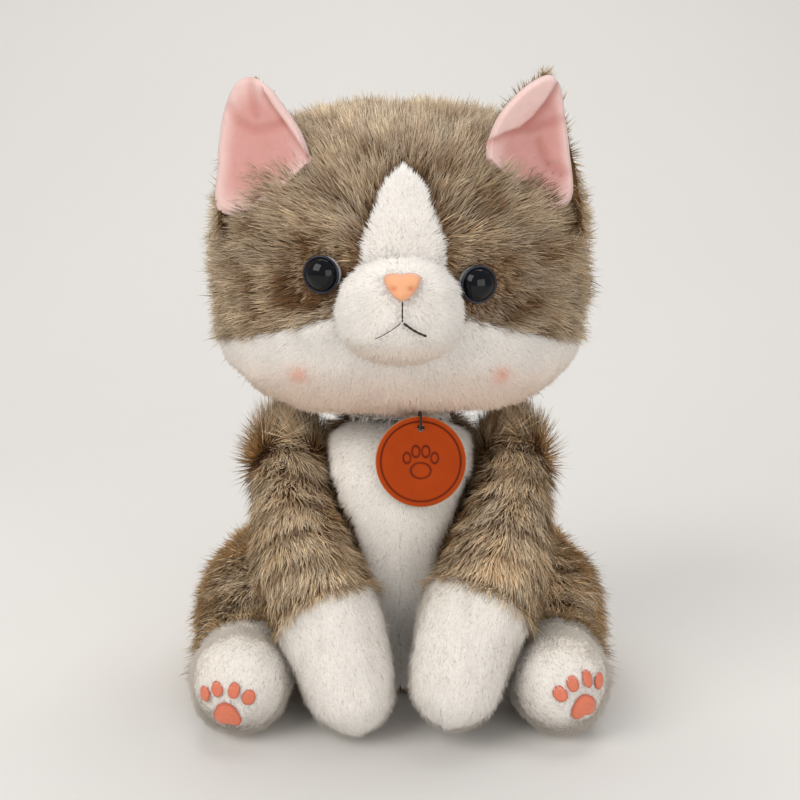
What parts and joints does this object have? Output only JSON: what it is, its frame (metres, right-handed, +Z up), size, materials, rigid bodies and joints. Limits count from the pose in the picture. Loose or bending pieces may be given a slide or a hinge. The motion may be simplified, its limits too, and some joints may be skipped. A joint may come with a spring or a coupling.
{
  "type": "seated plush cat",
  "caption": "Seated plush cat with a turning and nodding head, lifting front legs, splaying hind legs, a curled tail and a round tag on a thread loop.",
  "frame": {"origin": "middle of the flat seat panel's underside, on the surface that the cat sits on", "axes": "+Z up, the cat faces -Y, its own left side is +X"},
  "size_m": [0.206, 0.2283, 0.2955],
  "materials": {
    "brown_fur": "long tabby pile, brown with pale tips",
    "white_fur": "short dense off-white pile",
    "ear_velvet": "smooth pink velvet",
    "pad_satin": "coral satin applique",
    "nose_flock": "peach flock",
    "eye_gloss": "polished black",
    "washer_plastic": "moulded, off-white",
    "dark_thread": "twisted dark brown thread",
    "tag_leather": "burnt-orange, embossed",
    "stuffing": "loose polyester fibre",
    "bag_cloth": "plain woven bag of pellets",
    "label_satin": "blank woven ribbon"
  },
  "bodies": {
    "torso": {"chest_panel": "white_fur", "left_body_panel": "brown_fur", "right_body_panel": "brown_fur", "base_panel": "brown_fur", "torso_stuffing": "stuffing", "pellet_bag": "bag_cloth", "care_label": "label_satin"},
    "neck": {"neck_plug": "brown_fur"},
    "head": {"head_back_panel": "brown_fur", "forehead_blaze": "white_fur", "head_stuffing": "stuffing", "muzzle_cover": "white_fur", "muzzle_stuffing": "stuffing", "nose": "nose_flock", "mouth_stitch_middle": "dark_thread", "mouth_stitch_left": "dark_thread", "mouth_stitch_right": "dark_thread", "left_crown_panel": "brown_fur", "left_cheek_panel": "white_fur", "left_eye": "eye_gloss", "left_eye_washer": "washer_plastic", "left_ear_back": "brown_fur", "left_ear_lining": "ear_velvet", "right_crown_panel": "brown_fur", "right_cheek_panel": "white_fur", "right_eye": "eye_gloss", "right_eye_washer": "washer_plastic", "right_ear_back": "brown_fur", "right_ear_lining": "ear_velvet"},
    "left_arm": {"left_arm_sleeve": "brown_fur", "left_paw_sock": "white_fur", "left_arm_stuffing": "stuffing"},
    "right_arm": {"right_arm_sleeve": "brown_fur", "right_paw_sock": "white_fur", "right_arm_stuffing": "stuffing"},
    "left_leg": {"left_haunch_cover": "brown_fur", "left_foot_cover": "white_fur", "left_leg_stuffing": "stuffing", "left_main_pad": "pad_satin", "left_outer_toe_pad": "pad_satin", "left_outer_middle_toe_pad": "pad_satin", "left_inner_middle_toe_pad": "pad_satin", "left_inner_toe_pad": "pad_satin"},
    "right_leg": {"right_haunch_cover": "brown_fur", "right_foot_cover": "white_fur", "right_leg_stuffing": "stuffing", "right_main_pad": "pad_satin", "right_outer_toe_pad": "pad_satin", "right_outer_middle_toe_pad": "pad_satin", "right_inner_middle_toe_pad": "pad_satin", "right_inner_toe_pad": "pad_satin"},
    "tail": {"tail_cover": "brown_fur", "tail_stuffing": "stuffing"},
    "tag": {"tag_disc": "tag_leather", "tag_cord": "dark_thread"}
  },
  "joints": [
    {"name": "head_turn", "type": "hinge", "parent": "torso", "child": "neck", "pos_m": [0, 0.002, 0.152], "axis": [0, 0, 1], "range_deg": [-20, 20]},
    {"name": "head_nod", "type": "hinge", "parent": "neck", "child": "head", "pos_m": [0, 0.002, 0.152], "axis": [1, 0, 0], "range_deg": [-12, 0], "stiffness_Nm_per_rad": 0.5},
    {"name": "left_arm_lift", "type": "hinge", "parent": "torso", "child": "left_arm", "pos_m": [0.054, -0.008, 0.116], "axis": [-0.9063, 0, 0.4226], "range_deg": [0, 40]},
    {"name": "right_arm_lift", "type": "hinge", "parent": "torso", "child": "right_arm", "pos_m": [-0.054, -0.008, 0.116], "axis": [-0.9063, 0, -0.4226], "range_deg": [0, 40]},
    {"name": "left_leg_splay", "type": "hinge", "parent": "torso", "child": "left_leg", "pos_m": [0.064, 0.025, 0.038], "axis": [0, 0, 1], "range_deg": [0, 20]},
    {"name": "right_leg_splay", "type": "hinge", "parent": "torso", "child": "right_leg", "pos_m": [-0.064, 0.025, 0.038], "axis": [0, 0, -1], "range_deg": [0, 20]},
    {"name": "tail_swing", "type": "hinge", "parent": "torso", "child": "tail", "pos_m": [0, 0.082, 0.027], "axis": [0, 0, -1], "range_deg": [0, 55]},
    {"name": "tag_swing", "type": "hinge", "parent": "torso", "child": "tag", "pos_m": [0.01, -0.029, 0.132], "axis": [0, 1, 0], "range_deg": [-12, 12]}
  ]
}
